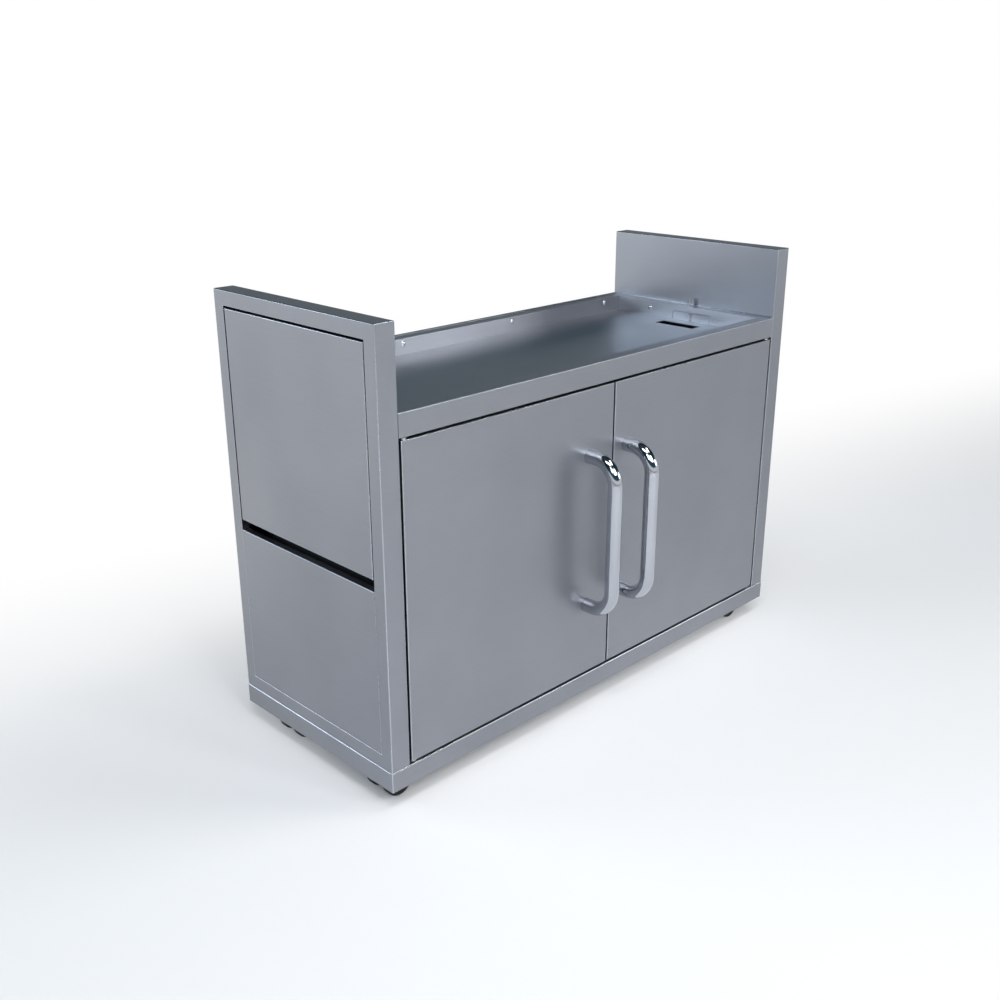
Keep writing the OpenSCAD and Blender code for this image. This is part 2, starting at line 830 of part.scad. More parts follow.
// Screws in the rear wall and the side walls of the pan
module deck_screws() {
    color(polished) {
        each_rear_screw()
            translate([0, pan_y1, 0])
                rotate([90, 0, 0]) {
                    domed_screw(rear_screw);
                    translate([0, 0, -sheet_t - nut_h])
                        hexagon(nut_r, nut_h);
                }
        for (side = ["left", "right"])
            on_side(side)
                translate([-pan_x, stud_y(), deck_h - stud_drop])
                    rotate([0, 90, 0]) {
                        cylinder(h = stud_washer[1], r = stud_washer[0]);
                        translate([0, 0, stud_washer[1]])
                            domed_screw(stud_screw);
                        translate([0, 0, -sheet_t - nut_h])
                            hexagon(nut_r, nut_h);
                    }
    }
}

// Outer shell of a door, folded from one sheet
module door_shell(side) {
    color(brushed)
        on_side(side)
            difference() {
                intersection() {
                    prism_z(door_z0, door_z1)
                        corner_rect([-door_x0, front_y], [-door_x1, front_y + door_t], fold_r, [1, 1, 0, 0]);
                    prism_x(-door_x0, -door_x1)
                        corner_rect([front_y, door_z0], [front_y + door_t, door_z1], fold_r, [1, 0, 0, 1]);
                }
                block([-door_x0 + sheet_t, front_y + sheet_t, door_z0 + sheet_t],
                    [-door_x1 - sheet_t, front_y + door_t + over, door_z1 - sheet_t]);
                rod_z([-pivot_x, pivot_y, door_z0 - over], sheet_t + 2 * over, pivot_r + run_gap);
                rod_z([-pivot_x, pivot_y, door_z1 - sheet_t - over], sheet_t + 2 * over, pivot_r + run_gap);
                for (z = [handle_low, handle_low + handle_span])
                    rod_y([-handle_x(side), front_y - over, z], sheet_t + 2 * over, handle_bolt_r + run_gap);
            }
}

// Inner skin of a door, a tray that nests in the shell
module door_liner(side) {
    outer = sheet_t;
    inner = 2 * sheet_t;
    notch = pivot_block_h + inner;
    back = front_y + door_t;
    color(pale)
        on_side(side)
            difference() {
                block([-door_x0 + outer, back - liner_hem, door_z0 + outer], [-door_x1 - outer, back, door_z1 - outer]);
                block([-door_x0 + inner, back - liner_hem - over, door_z0 + inner],
                    [-door_x1 - inner, back - sheet_t, door_z1 - inner]);
                for (z = [door_z0, door_z1])
                    block([-door_x0 - over, back - liner_hem - over, z - notch],
                        [-pivot_x + pivot_block + sheet_t, back - sheet_t, z + notch]);
            }
}

// Distance of a handle from the middle of the cart
function handle_x(side) = side == "left" ? handle_left : handle_right;

// Grip, bends and ends of a handle, with the door's face at Y = 0 and the middle of the grip at Z = 0
module handle_path(r, past) {
    straight = handle_span / 2 - handle_bend;
    rod_z([0, -handle_off, -straight], 2 * straight, r);
    for (end = [0, 1])
        mirror([0, 0, end]) {
            translate([0, -handle_off + handle_bend, straight])
                quarter_bend(handle_bend, r);
            rod_y([0, -handle_off + handle_bend, handle_span / 2], handle_off - handle_bend + past, r);
        }
}

// Door handle, a bent tube
module door_handle(side) {
    color(polished)
        on_side(side)
            translate([-handle_x(side), front_y, handle_low + handle_span / 2])
                difference() {
                    handle_path(handle_r, 0);
                    handle_path(handle_r - handle_wall, over);
                }
}

// Plug in each end of a handle, with the bolt that holds it from inside the door
module handle_bolts(side) {
    color(galvanised)
        on_side(side)
            for (z = [handle_low, handle_low + handle_span])
                translate([-handle_x(side), front_y, z]) {
                    rod_y([0, -plug_t, 0], plug_t, handle_r - handle_wall - run_gap);
                    rod_y([0, 0, 0], sheet_t + washer_t, handle_bolt_r);
                    rod_y([0, sheet_t, 0], washer_t, 2 * handle_bolt_r);
                    rotate([-90, 0, 0])
                        translate([0, 0, sheet_t + washer_t])
                            hexagon(handle_head_r, handle_bolt_r);
                }
}

// Pivot pins of a door, each on a block welded into a corner of the shell
module door_pivots(side) {
    color(polished)
        on_side(side)
            translate([-pivot_x, pivot_y, 0]) {
                pivot_pin(door_z1, 1);
                pivot_pin(door_z0, -1);
            }
}

// One pivot pin on the edge of the door at a height, pointing up or down
module pivot_pin(edge, way) {
    front_room = pivot_back - sheet_t;
    side_room = pivot_in - sheet_t;
    translate([0, 0, edge])
        mirror([0, 0, way > 0 ? 0 : 1]) {
            rod_z([0, 0, -sheet_t - over], sheet_t + over + pivot_l, pivot_r);
            rod_z([0, 0, 0], door_gap - bush_rim_h - nest_gap, collar_r);
            block([-side_room, -front_room, -pivot_block_h - sheet_t],
                [pivot_block / 2, pivot_block / 2, -sheet_t]);
        }
}

// Bushes in the rail and in the floor, with a rim towards the door
module pivot_bushes() {
    color(polished)
        for (side = [-1, 1])
            translate([side * pivot_x, pivot_y, 0]) {
                pivot_bush(rail_z, 1);
                pivot_bush(base_top, -1);
            }
}

// One bush through a sheet whose face is at a height, running up or down from it
module pivot_bush(face, way) {
    translate([0, 0, face])
        mirror([0, 0, way > 0 ? 0 : 1])
            difference() {
                union() {
                    rod_z([0, 0, 0], bush_l, bush_r);
                    rod_z([0, 0, -bush_rim_h], bush_rim_h, bush_r + bush_rim);
                }
                rod_z([0, 0, -bush_rim_h - over], bush_l + bush_rim_h + 2 * over, pivot_r + run_gap);
            }
}

// Magnetic catches under the foot of the rail, behind the inner top corners of the doors
module catch_magnets() {
    face = front_y + door_t + strike_t + nest_gap;
    top = rail_z + sheet_t;
    color(black)
        for (side = [-1, 1])
            translate([side * catch_x, 0, 0]) {
                block([-catch_w / 2, face + pole_out, top - catch_h], [catch_w / 2, face + catch_d, top]);
                for (z = [top - catch_h + pole_t, top - catch_h + 3 * pole_t])
                    block([-catch_w / 2 + 2 * pole_t, face, z], [catch_w / 2 - 2 * pole_t, face + 2 * pole_out, z + pole_t]);
            }
}

// Steel plate on the inner skin of a door, opposite its catch
module strike_plate(side) {
    back = front_y + door_t;
    top = door_z1 - sheet_t - nest_gap - strike_drop;
    color(polished)
        on_side(side)
            block([-catch_x - strike_w / 2, back, top - strike_h], [-catch_x + strike_w / 2, back + strike_t, top]);
}

// Places of the four casters
module each_caster() {
    for (x = [-swivel_x, swivel_x], y = [swivel_front, swivel_back])
        translate([x, y, 0])
            children();
}

// Places of the four bolts of a caster
module each_caster_bolt() {
    reach_x = caster_plate_w / 2 - caster_bolt_in;
    reach_y = caster_plate_l / 2 - caster_bolt_in;
    for (x = [-reach_x, reach_x], y = [-reach_y, reach_y])
        translate([x, y, 0])
            children();
}

// Top plate, race and kingpin of each caster
module caster_plates() {
    half_w = caster_plate_w / 2;
    half_l = caster_plate_l / 2;
    color(galvanised)
        each_caster()
            difference() {
                union() {
                    prism_z(base_under - plate_t, base_under)
                        corner_rect([-half_w, -half_l], [half_w, half_l], plate_t, [1, 1, 1, 1]);
                    rod_z([0, 0, base_under - plate_t - race_h], race_h, race_r);
                    rod_z([0, 0, base_under - plate_t - race_h - kingpin_l], race_h + kingpin_l, kingpin_r);
                }
                each_caster_bolt()
                    rod_z([0, 0, base_under - plate_t - over], plate_t + 2 * over, caster_bolt[2] + run_gap);
            }
}

// Bolts that hold the casters, with a nut above the floor
module caster_bolts() {
    grip = plate_t + sheet_t;
    color(galvanised)
        each_caster()
            each_caster_bolt()
                translate([0, 0, base_under - plate_t]) {
                    translate([0, 0, -caster_bolt[1]])
                        hexagon(caster_bolt[0], caster_bolt[1]);
                    rod_z([0, 0, 0], caster_bolt[3], caster_bolt[2]);
                    translate([0, 0, grip])
                        hexagon(caster_bolt[0], nut_h);
                }
}

// Swivelling housing of a caster: disc, web between the wheels and a fender over both
module caster_housing(x, y) {
    half_web = (wheel_gauge - wheel_w) / 2 - web_gap;
    half_fender = (wheel_gauge + wheel_w) / 2;
    fender_in = wheel_r + fender_gap;
    fender_out = fender_in + fender_t;
    rise = fender_out * sin(fender_angle);
    color(black)
        translate([x, y, 0])
            difference() {
                union() {
                    rod_z([0, 0, swivel_z - disc_h], disc_h, race_r);
                    block([-caster_trail - axle_boss_r, -half_web, wheel_r], [axle_boss_r, half_web, swivel_z - disc_h / 2]);
                    rod_y([-caster_trail, -half_web, wheel_r], 2 * half_web, axle_boss_r);
                    intersection() {
                        difference() {
                            rod_y([-caster_trail, -half_fender, wheel_r], 2 * half_fender, fender_out);
                            rod_y([-caster_trail, -half_fender - over, wheel_r], 2 * (half_fender + over), fender_in);
                        }
                        block([-caster_trail - fender_out, -half_fender, wheel_r + rise],
                            [-caster_trail + fender_out, half_fender, wheel_r + fender_out]);
                    }
                }
                rod_z([0, 0, swivel_z - kingpin_l], kingpin_l + over, kingpin_r + run_gap);
                rod_y([-caster_trail, -half_web - over, wheel_r], 2 * (half_web + over), axle_r + run_gap);
            }
}

// Axle of a caster, with a cap outside each wheel
module caster_axle(x, y) {
    half = (wheel_gauge + wheel_w) / 2 + nest_gap;
    color(galvanised)
        translate([x - caster_trail, y, wheel_r]) {
            rod_y([0, -half, 0], 2 * half, axle_r);
            for (end = [0, 1])
                mirror([0, end, 0])
                    rod_y([0, half, 0], axle_cap_h, axle_cap_r);
        }
}

// Caster wheel; way is -1 for the front wheel of the pair and 1 for the rear one
module caster_wheel(x, y, way) {
    half = wheel_w / 2;
    color(black)
        translate([x - caster_trail, y + way * wheel_gauge / 2, wheel_r])
            mirror([0, way > 0 ? 0 : 1, 0])
                rotate([-90, 0, 0])
                    rotate_extrude()
                        difference() {
                            corner_rect([axle_r + run_gap, -half], [wheel_r, half], tread_r, [0, 1, 1, 0]);
                            translate([hub_r, half - wheel_recess])
                                square([wheel_r - rim_w - hub_r, wheel_recess + over]);
                        }
}

// Places of the screws in the left inner skin, on the inner face of what each one holds
module each_side_screw() {
    z_low = base_top + vent_edge;
    z_high = rail_z - vent_edge;
    for (z = [z_low, (z_low + z_high) / 2, z_high])
        translate([-side_in + sheet_t, back_y - screw_in, z])
            children();
    for (y = [pan_y0 + 2 * angle_end, pan_y1 - 2 * angle_end])
        translate([-side_in + angle_t, y, deck_h - sheet_t - (angle_leg + angle_t) / 2])
            children();
}

// Holes for the screws in a left inner skin and in what they hold against it
module side_screw_holes() {
    depth = angle_t + sheet_t + over;
    each_side_screw()
        rod_x([-depth, 0, 0], depth + over, small_screw[2] + run_gap);
}

// Screws that hold the back panel and the deck angles to the inner skins
module panel_screws() {
    color(galvanised)
        for (side = ["left", "right"])
            on_side(side)
                each_side_screw()
                    rotate([0, 90, 0])
                        domed_screw(small_screw);
}

base_tray();
floor_stiffener();
side_frame("left");  // side_frame_left
side_frame("right");  // side_frame_right
side_liner("left");  // side_liner_left
side_liner("right");  // side_liner_right
lower_side_panel("left");  // lower_side_panel_left
lower_side_panel("right");  // lower_side_panel_right
side_shelf("left");  // side_shelf_left
side_shelf("right");  // side_shelf_right
shelf_channel("left");  // shelf_channel_left
shelf_channel("right");  // shelf_channel_right
shelf_hinge_pins("left");  // shelf_hinge_pins_left
shelf_hinge_pins("right");  // shelf_hinge_pins_right
shelf_prop("left");  // shelf_prop_left
shelf_prop("right");  // shelf_prop_right
prop_brackets("left");  // prop_brackets_left
prop_brackets("right");  // prop_brackets_right
back_panel();
grill_deck();
front_rail();
deck_angles();
locating_pins();
deck_screws();
door_shell("left");  // door_shell_left
door_shell("right");  // door_shell_right
door_liner("left");  // door_liner_left
door_liner("right");  // door_liner_right
door_handle("left");  // door_handle_left
door_handle("right");  // door_handle_right
handle_bolts("left");  // handle_bolts_left
handle_bolts("right");  // handle_bolts_right
door_pivots("left");  // door_pivots_left
door_pivots("right");  // door_pivots_right
pivot_bushes();
catch_magnets();
strike_plate("left");  // strike_plate_left
strike_plate("right");  // strike_plate_right
panel_screws();
caster_plates();
caster_bolts();
caster_housing(-swivel_x, swivel_front);  // caster_housing_fl
caster_housing(swivel_x, swivel_front);  // caster_housing_fr
caster_housing(-swivel_x, swivel_back);  // caster_housing_rl
caster_housing(swivel_x, swivel_back);  // caster_housing_rr
caster_axle(-swivel_x, swivel_front);  // caster_axle_fl
caster_axle(swivel_x, swivel_front);  // caster_axle_fr
caster_axle(-swivel_x, swivel_back);  // caster_axle_rl
caster_axle(swivel_x, swivel_back);  // caster_axle_rr
caster_wheel(-swivel_x, swivel_front, -1);  // caster_wheel_fl_a
caster_wheel(-swivel_x, swivel_front, 1);  // caster_wheel_fl_b
caster_wheel(swivel_x, swivel_front, -1);  // caster_wheel_fr_a
caster_wheel(swivel_x, swivel_front, 1);  // caster_wheel_fr_b
caster_wheel(-swivel_x, swivel_back, -1);  // caster_wheel_rl_a
caster_wheel(-swivel_x, swivel_back, 1);  // caster_wheel_rl_b
caster_wheel(swivel_x, swivel_back, -1);  // caster_wheel_rr_a
caster_wheel(swivel_x, swivel_back, 1);  // caster_wheel_rr_b
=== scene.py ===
import json
import math

import bmesh
import bpy
from mathutils import Matrix, Vector

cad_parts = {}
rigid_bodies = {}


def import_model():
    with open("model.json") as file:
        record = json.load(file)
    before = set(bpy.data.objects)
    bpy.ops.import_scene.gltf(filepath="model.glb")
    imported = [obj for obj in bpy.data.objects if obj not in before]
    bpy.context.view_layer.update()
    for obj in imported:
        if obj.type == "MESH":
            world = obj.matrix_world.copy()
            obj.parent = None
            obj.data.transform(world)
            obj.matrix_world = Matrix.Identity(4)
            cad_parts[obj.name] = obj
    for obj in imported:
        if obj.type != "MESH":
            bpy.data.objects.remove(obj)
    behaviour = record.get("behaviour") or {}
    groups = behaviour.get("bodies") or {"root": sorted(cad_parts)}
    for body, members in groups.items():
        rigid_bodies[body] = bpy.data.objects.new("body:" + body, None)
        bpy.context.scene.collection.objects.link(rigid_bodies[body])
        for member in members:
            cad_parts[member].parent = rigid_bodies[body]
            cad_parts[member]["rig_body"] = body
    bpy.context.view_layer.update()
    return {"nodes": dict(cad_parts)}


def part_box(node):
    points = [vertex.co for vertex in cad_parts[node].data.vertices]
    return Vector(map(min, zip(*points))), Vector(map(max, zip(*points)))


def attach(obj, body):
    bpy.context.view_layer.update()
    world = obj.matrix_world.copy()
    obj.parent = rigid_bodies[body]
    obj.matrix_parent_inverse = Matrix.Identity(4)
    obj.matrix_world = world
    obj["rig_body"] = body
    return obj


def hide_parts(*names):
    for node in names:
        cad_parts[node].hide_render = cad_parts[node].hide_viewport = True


# Grill cart with storage: satin stainless sheet, polished tube handles, black twin-wheel casters.
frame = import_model()
cart = frame["nodes"]

MM = 0.001
SIDES = ("left", "right")
CORNERS = ("fl", "fr", "rl", "rr")

# Points closer than JOIN become one, and lengths below CLOSE count as nothing
JOIN = 0.002 * MM
CLOSE = 0.1 * MM
QUARTER_TURN = math.radians(90)


def linear(hex_colour):
    """Linear RGBA of an sRGB hex colour."""
    parts = [int(hex_colour[i:i + 2], 16) / 255 for i in (1, 3, 5)]
    return [c / 12.92 if c <= 0.04045 else ((c + 0.055) / 1.055) ** 2.4 for c in parts] + [1.0]


def add_node(tree, kind, settings=None, values=None, feeds=None):
    """Adds a shader node with its settings, its socket values and its links."""
    made = tree.nodes.new(kind)
    for name, value in (settings or {}).items():
        setattr(made, name, value)
    for socket, value in (values or {}).items():
        made.inputs[socket].default_value = value
    for socket, source in (feeds or {}).items():
        tree.links.new(source, made.inputs[socket])
    return made


def new_finish(name):
    """Empty material and its tree, with the output of the Object coordinates."""
    finish = bpy.data.materials.new(name)
    finish.use_nodes = True
    tree = finish.node_tree
    tree.nodes.clear()
    place = add_node(tree, "ShaderNodeTexCoord").outputs["Object"]
    return finish, tree, place


# Metal: the grain's weight beside the slow clouding, the range of both together from dark to light, and the
# grain's depth
GRAIN_WEIGHT = 0.45
TONE_FROM, TONE_TO = 0.45, 1.0
GRAIN_DEPTH = 0.1 * MM


def grained_metal(name, dark, light, rough, grain_mm, grain_bump, cloud_mm=260.0, rough_swing=0.05):
    """Metal with straight grain; grain_mm is the grain's size along X, Y and Z."""
    finish, tree, place = new_finish(name)
    drawn = add_node(tree, "ShaderNodeMapping", {"vector_type": "POINT"},
                     {"Scale": [1 / MM / size for size in grain_mm]}, {"Vector": place})
    grain = add_node(tree, "ShaderNodeTexNoise", None, {"Scale": 1.0, "Detail": 3.0, "Roughness": 0.6},
                     {"Vector": drawn.outputs["Vector"]})
    cloud = add_node(tree, "ShaderNodeTexNoise", None,
                     {"Scale": 1 / MM / cloud_mm, "Detail": 2.0, "Roughness": 0.5}, {"Vector": place})
    tone = add_node(tree, "ShaderNodeMath", {"operation": "MULTIPLY_ADD"}, {1: GRAIN_WEIGHT},
                    {0: grain.outputs["Fac"], 2: cloud.outputs["Fac"]})
    ramp = add_node(tree, "ShaderNodeMapRange", None, {"From Min": TONE_FROM, "From Max": TONE_TO},
                    {"Value": tone.outputs["Value"]})
    colour = add_node(tree, "ShaderNodeMix", {"data_type": "RGBA"}, {6: linear(dark), 7: linear(light)},
                      {0: ramp.outputs["Result"]})
    gloss = add_node(tree, "ShaderNodeMapRange", None,
                     {"From Min": TONE_FROM, "From Max": TONE_TO,
                      "To Min": rough + rough_swing, "To Max": rough - rough_swing},
                     {"Value": tone.outputs["Value"]})
    relief = add_node(tree, "ShaderNodeBump", None, {"Strength": grain_bump, "Distance": GRAIN_DEPTH},
                      {"Height": grain.outputs["Fac"]})
    metal = add_node(tree, "ShaderNodeBsdfPrincipled", None, {"Metallic": 1.0},
                     {"Base Color": colour.outputs[2], "Roughness": gloss.outputs["Result"],
                      "Normal": relief.outputs["Normal"]})
    add_node(tree, "ShaderNodeOutputMaterial", None, None, {"Surface": metal.outputs["BSDF"]})
    return finish


# Plastic and rubber: the size of the dust's patches, the range of them that shows, the swing of the gloss, and
# the specks' depth
DUST_MM = 25.0
DUST_FROM, DUST_TO = 0.35, 0.75
SPECK_SWING = 0.08
SPECK_DEPTH = 0.2 * MM


def speckled_plastic(name, dark, light, rough, speck_mm, bump):
    """Moulded plastic or rubber with a fine grained skin."""
    finish, tree, place = new_finish(name)
    speck = add_node(tree, "ShaderNodeTexNoise", None, {"Scale": 1 / MM / speck_mm, "Detail": 4.0},
                     {"Vector": place})
    dust = add_node(tree, "ShaderNodeTexNoise", None, {"Scale": 1 / MM / DUST_MM, "Detail": 3.0},
                    {"Vector": place})
    ramp = add_node(tree, "ShaderNodeMapRange", None, {"From Min": DUST_FROM, "From Max": DUST_TO},
                    {"Value": dust.outputs["Fac"]})
    colour = add_node(tree, "ShaderNodeMix", {"data_type": "RGBA"}, {6: linear(dark), 7: linear(light)},
                      {0: ramp.outputs["Result"]})
    gloss = add_node(tree, "ShaderNodeMapRange", None,
                     {"To Min": rough - SPECK_SWING, "To Max": rough + SPECK_SWING},
                     {"Value": speck.outputs["Fac"]})
    relief = add_node(tree, "ShaderNodeBump", None, {"Strength": bump, "Distance": SPECK_DEPTH},
                      {"Height": speck.outputs["Fac"]})
    skin = add_node(tree, "ShaderNodeBsdfPrincipled", None, {"Metallic": 0.0, "IOR": 1.5},
                    {"Base Color": colour.outputs[2], "Roughness": gloss.outputs["Result"],
                     "Normal": relief.outputs["Normal"]})
    add_node(tree, "ShaderNodeOutputMaterial", None, None, {"Surface": skin.outputs["BSDF"]})
    return finish


# Stainless sheet, belt-ground to a number 4 finish: satin grey with blurred reflections and a level grain
# across the cart. The real grain is about 0.1 mm wide. It is drawn 0.9 mm wide, so that it shows at this
# distance.
satin_sheet = grained_metal("satin_stainless", "#92959c", "#9a9da4", 0.39, (70, 70, 0.9), 0.012)
# The same ground sheet on the deck, painted a shade paler: painted light for the brighter look of its
# faces. Its grain runs across the cart on the level faces too. It is drawn coarser here as well.
deck_sheet_painted_paler = grained_metal("satin_stainless_deck_painted_light", "#a8abb2", "#b0b3ba", 0.39, (70, 0.9, 0.9), 0.012)
# Folds and cut edges: smoother than the faces, and painted paler than them, a painted highlight that
# gives each a thin line of light.
edge_highlight_finish = grained_metal("stainless_edge_painted_highlight", "#b2b6be", "#c0c4cc", 0.28, (8, 8, 8), 0.01)
# Stainless tube, polished after bending: bright, with crisp reflections and hardly any grain.
polished_tube = grained_metal("polished_stainless_tube", "#b6bac1", "#c0c4cb", 0.09, (0.9, 0.9, 0.9), 0.003,
                              120.0, 0.02)
# Pins, rods and screws turned from stainless bar: bright points of light, a little blurred by tool marks.
turned_steel = grained_metal("turned_stainless", "#c4c7cc", "#d2d5d9", 0.20, (0.6, 0.6, 0.6), 0.03, 30.0)
# Pressed steel, zinc plated, inside and under the cart: cooler and duller than the sheet, slightly cloudy.
zinc_plate = grained_metal("zinc_plated_steel", "#8d949b", "#a5abb0", 0.42, (3, 3, 3), 0.05, 40.0, 0.08)
# Bushes pressed and sintered from bronze powder, filled with oil: brown and dull, with fine pores.
sintered_bronze = grained_metal("sintered_bronze", "#75695a", "#877a68", 0.45, (0.5, 0.5, 0.5), 0.15, 10.0)
# Caster housings and catches moulded of glass-filled nylon: black with a low sheen and a fine grain.
black_nylon = speckled_plastic("moulded_black_nylon", "#141416", "#1c1c1f", 0.48, 0.8, 0.25)
# Rim of doors and shelves, drawn as a rubber seal: near-black painted shade that keeps the gaps black.
seal_and_gap_shade = speckled_plastic("black_edge_seal_painted_shade", "#0b0b0c", "#121214", 0.62, 0.7, 0.3)
# Treads moulded of thermoplastic rubber: matt black, slightly dusty.
tread_rubber = speckled_plastic("black_tread_rubber", "#101011", "#1d1d1f", 0.72, 0.6, 0.35)


def activate(piece):
    """Makes a piece the only selected object and the active one."""
    bpy.ops.object.select_all(action="DESELECT")
    piece.select_set(True)
    bpy.context.view_layer.objects.active = piece


def apply_modifiers(piece):
    """Applies every modifier of a piece, in order."""
    activate(piece)
    for step in [m.name for m in piece.modifiers]:
        bpy.ops.object.modifier_apply(modifier=step)


def pick(piece, kind, test):
    """Selects faces or edges in edit mode; test gets each one's middle, and its normal or its run."""
    bpy.ops.mesh.select_mode(type=kind)
    bpy.ops.mesh.select_all(action="DESELECT")
    mesh = bmesh.from_edit_mesh(piece.data)
    mesh.normal_update()
    for part in mesh.faces if kind == "FACE" else mesh.edges:
        if kind == "FACE":
            found = test(part.calc_center_median(), part.normal)
        else:
            start, end = (vertex.co for vertex in part.verts)
            found = test((start + end) / 2, end - start)
        if found:
            part.select_set(True)
    bmesh.update_edit_mesh(piece.data)


def settle(piece, name, finishes, body, slot, *stands_for, smooth=35):
    """Names a finished piece, puts its place in its mesh, and hands it to the frame."""
    activate(piece)
    bpy.ops.object.transform_apply(location=True, rotation=True, scale=True)
    bpy.ops.object.shade_smooth_by_angle(angle=math.radians(smooth))
    piece.name = name
    piece.data.name = name
    kept = [polygon.material_index for polygon in piece.data.polygons]
    piece.data.materials.clear()
    for finish in finishes:
        piece.data.materials.append(finish)
    for polygon, index in zip(piece.data.polygons, kept):
        polygon.material_index = min(index, len(finishes) - 1)
    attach(piece, body)
    if stands_for:
        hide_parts(*stands_for)
    return piece


# A face whose normal has a greater part than this along one axis is flat sheet, not a fold
FOLD_TURN = 0.96
# Places of a piece's finishes in its list: the face, the folds with their painted highlight, and the seal with
# its painted shade or the deck's apron
ON_FACE, ON_FOLD, ON_RIM = 0, 1, 2
# CAD faces that turn by less than this are one flat face, and edges that turn by more are rounded
FLAT_TURN, SHARP_TURN = math.radians(0.4), math.radians(40)


def merged_copy(node):
    """Copy of a CAD node's mesh, its triangles joined into one skin, left in edit mode."""
    mesh = cart[node].data.copy()
    piece = bpy.data.objects.new(node + "_eased", mesh)
    bpy.context.scene.collection.objects.link(piece)
    for polygon in mesh.polygons:
        polygon.material_index = ON_FACE
    activate(piece)
    bpy.ops.object.mode_set(mode="EDIT")
    bpy.ops.mesh.select_all(action="SELECT")
    bpy.ops.mesh.customdata_custom_splitnormals_clear()
    bpy.ops.mesh.remove_doubles(threshold=JOIN)
    return piece


def hand_over(piece, node, finishes, slot):
    """Settles an eased copy in its node's place and keeps its broad faces flat to the light."""
    settle(piece, node + "_eased", finishes, cart[node]["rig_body"], slot, node, smooth=50)
    flat = piece.modifiers.new("flat faces", "WEIGHTED_NORMAL")
    flat.keep_sharp = True
    flat.weight = 100
    apply_modifiers(piece)
    return piece


def eased_copy(node, ease_mm, finishes, slot):
    """Copy of a CAD node with clean faces and its sharp edges rounded off."""
    piece = merged_copy(node)
    bpy.ops.mesh.dissolve_limited(angle_limit=FLAT_TURN)
    bpy.ops.object.mode_set(mode="OBJECT")
    two_finishes = len(finishes) > 1
    rounding = piece.modifiers.new("eased edges", "BEVEL")
    rounding.width = ease_mm * MM
    rounding.segments = 2
    rounding.limit_method = "ANGLE"
    rounding.angle_limit = SHARP_TURN
    rounding.use_clamp_overlap = False
    # The rounded edges take the folds' finish, painted paler as a highlight
    rounding.material = ON_FOLD if two_finishes else -1
    for finish in finishes[len(piece.data.materials):]:
        piece.data.materials.append(finish)
    apply_modifiers(piece)
    if two_finishes:
        for polygon in piece.data.polygons:
            if max(abs(part) for part in polygon.normal) < FOLD_TURN:
                polygon.material_index = ON_FOLD
    return hand_over(piece, node, finishes, slot)


def seal_rim_painted_shade(piece, across):
    """Paints the rim of a folded panel near-black as its seal, a painted shade for the gap; across is the axis
    through the panel's thickness.
    """
    piece.data.materials.append(seal_and_gap_shade)
    for polygon in piece.data.polygons:
        if polygon.material_index == ON_FACE and abs(polygon.normal[across]) < 1 - FOLD_TURN:
            polygon.material_index = ON_RIM


def place_copies(shape, nodes):
    """Copies of the shape, each with a mesh of its own, moved to the middle of each node's box."""
    low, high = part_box(nodes[0])
    start = (low + high) / 2
    pieces = []
    for node in nodes:
        activate(shape)
        bpy.ops.object.duplicate(linked=False)
        piece = bpy.context.object
        low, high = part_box(node)
        piece.location = (low + high) / 2 - start
        bpy.ops.object.transform_apply(location=True, rotation=False, scale=False)
        pieces.append(piece)
    bpy.data.objects.remove(shape)
    return pieces


# Height of the finger slot's lip, at the top of the lower side panel
SLOT_LIP = 3 * MM

# Folded sheets, each with the rounding of its edges in millimetres
sheets = {"base_tray": 0.35, "back_panel": 0.35}
for side in SIDES:
    for part, ease in (("side_frame_", 0.7), ("side_liner_", 0.35), ("lower_side_panel_", 0.5),
                       ("side_shelf_", 0.35), ("door_shell_", 0.35), ("door_liner_", 0.35)):
        sheets[part + side] = ease
for node, ease in sheets.items():
    panel = eased_copy(node, ease, (satin_sheet, edge_highlight_finish), "brushed_stainless")
    if node.startswith("door_shell"):
        seal_rim_painted_shade(panel, 1)
    elif node.startswith("side_shelf"):
        seal_rim_painted_shade(panel, 0)
    elif node.startswith("lower_side_panel"):
        # The lip of the finger slot keeps the face's colour, without the folds' painted highlight
        lip_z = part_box(node)[1].z - SLOT_LIP
        for polygon in panel.data.polygons:
            if polygon.center.z > lip_z:
                polygon.material_index = ON_FACE

# Deck: only the long folds along its top are eased, and the flaps and the corners stay as cut
APRON_Y, PAN_FRONT_Y, PAN_BACK_Y = -195.6 * MM, -166.6 * MM, 241.8 * MM
PAN_SIDE_X, DECK_Z = 535.2 * MM, 759.0 * MM
NEAR = 0.25 * MM
FOLD_BAND = 0.6 * MM
DECK_EASE = 0.8 * MM


def on_top_fold(middle, along):
    """True on the folds round the pan and along the apron, at the deck's upper face."""
    if abs(middle.z - DECK_Z) > FOLD_BAND or abs(along.z) > CLOSE:
        return False
    if abs(along.y) < CLOSE:
        return min(abs(middle.y - y) for y in (APRON_Y, PAN_FRONT_Y, PAN_BACK_Y)) < NEAR
    return abs(along.x) < CLOSE and abs(abs(middle.x) - PAN_SIDE_X) < NEAR


deck = merged_copy("grill_deck")
pick(deck, "EDGE", on_top_fold)
bpy.ops.mesh.bevel(offset=DECK_EASE, offset_type="OFFSET", segments=3, profile=0.5, material=ON_FOLD)
bpy.ops.object.mode_set(mode="OBJECT")
# The apron keeps the plain sheet's colour; the rest of the deck has the paler copy, painted light
for polygon in deck.data.polygons:
    if abs(polygon.center.y - APRON_Y) < NEAR and polygon.material_index == ON_FACE:
        polygon.material_index = ON_RIM
hand_over(deck, "grill_deck", (deck_sheet_painted_paler, edge_highlight_finish, satin_sheet), "brushed_stainless")
